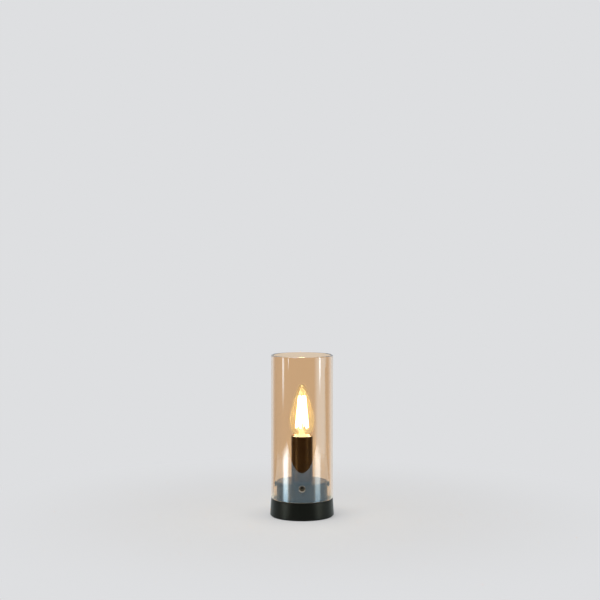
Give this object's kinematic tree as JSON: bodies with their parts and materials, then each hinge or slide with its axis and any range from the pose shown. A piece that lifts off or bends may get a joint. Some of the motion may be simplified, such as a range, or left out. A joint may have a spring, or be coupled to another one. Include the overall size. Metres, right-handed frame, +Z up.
{
  "type": "table lamp",
  "caption": "Table lamp: an open amber glass cylinder on a round black weighted base, round a candle lampholder with a clear filament bulb.",
  "frame": {"origin": "on the table, at the middle of the foot pad's underside", "axes": "+Z up along the lamp's axis, -Y towards the front, +Y towards the cord inlet"},
  "size_m": [0.0878, 0.0889, 0.222],
  "materials": {
    "amber_glass": "clear coated glass",
    "clear_glass": "clear",
    "black_powder_coat": "fine matt powder coat",
    "nickel": "bright nickel plate",
    "zinc_steel": "zinc plated",
    "brass": "plain",
    "iron": "as cast",
    "foam": "closed-cell foam",
    "black_plastic": "moulded",
    "white_plastic": "moulded",
    "filament": "phosphor coated, lit",
    "black_glass": "glassy",
    "board": "laminate",
    "brown_wire": "insulation",
    "blue_wire": "insulation",
    "earth_wire": "insulation"
  },
  "bodies": {
    "lamp_body": {"base_shell": "black_powder_coat", "base_weight": "iron", "block_screws": "zinc_steel", "bottom_plate": "zinc_steel", "bracket_rivets": "zinc_steel", "candle_sleeve": "black_powder_coat", "clamp_saddle": "black_plastic", "clamp_screws": "zinc_steel", "contact_spring": "zinc_steel", "cord_bush": "black_plastic", "drum": "black_powder_coat", "earth_lug": "brass", "earth_screw": "zinc_steel", "earth_wire": "earth_wire", "foot_pad": "foam", "glass_screw_nuts": "zinc_steel", "glass_screws": "nickel", "holder_body": "white_plastic", "holder_bracket": "zinc_steel", "holder_terminal_screws": "zinc_steel", "holder_terminals": "brass", "live_strap": "brass", "live_wire": "brown_wire", "lower_nut": "zinc_steel", "lower_washer": "zinc_steel", "neutral_strap": "brass", "neutral_wire": "blue_wire", "plate_screws": "zinc_steel", "stem": "zinc_steel", "terminal_block": "white_plastic", "terminal_screws": "zinc_steel", "terminal_tubes": "brass", "thread_shell": "nickel", "upper_nut": "zinc_steel", "upper_washer": "zinc_steel"},
    "shade": {"glass_shade": "amber_glass"},
    "contact": {"contact_plunger": "brass", "plunger_clip": "zinc_steel"},
    "bulb": {"bulb_envelope": "clear_glass", "bulb_mount": "clear_glass", "bulb_filaments": "filament", "filament_leads": "nickel", "bulb_cap": "nickel", "cap_insulator": "black_glass", "cap_contact": "brass", "bulb_driver": "board"}
  },
  "joints": [
    {"name": "shade_lift", "type": "slide", "parent": "lamp_body", "child": "shade", "axis": [0, 0, 1], "range_m": [0, 0.17]},
    {"name": "contact_follow", "type": "slide", "parent": "lamp_body", "child": "contact", "axis": [0, 0, 1], "range_m": [0, 0.00282], "deforming": ["contact_spring"]},
    {"name": "bulb_turn", "type": "hinge", "parent": "contact", "child": "bulb", "pos_m": [0, 0, 0.082], "axis": [0, 0, 1], "range_deg": [0, 360]}
  ],
  "couplings": [
    {"joint": "contact_follow", "follows": "bulb_turn", "m_per_rad": 0.00044913}
  ]
}
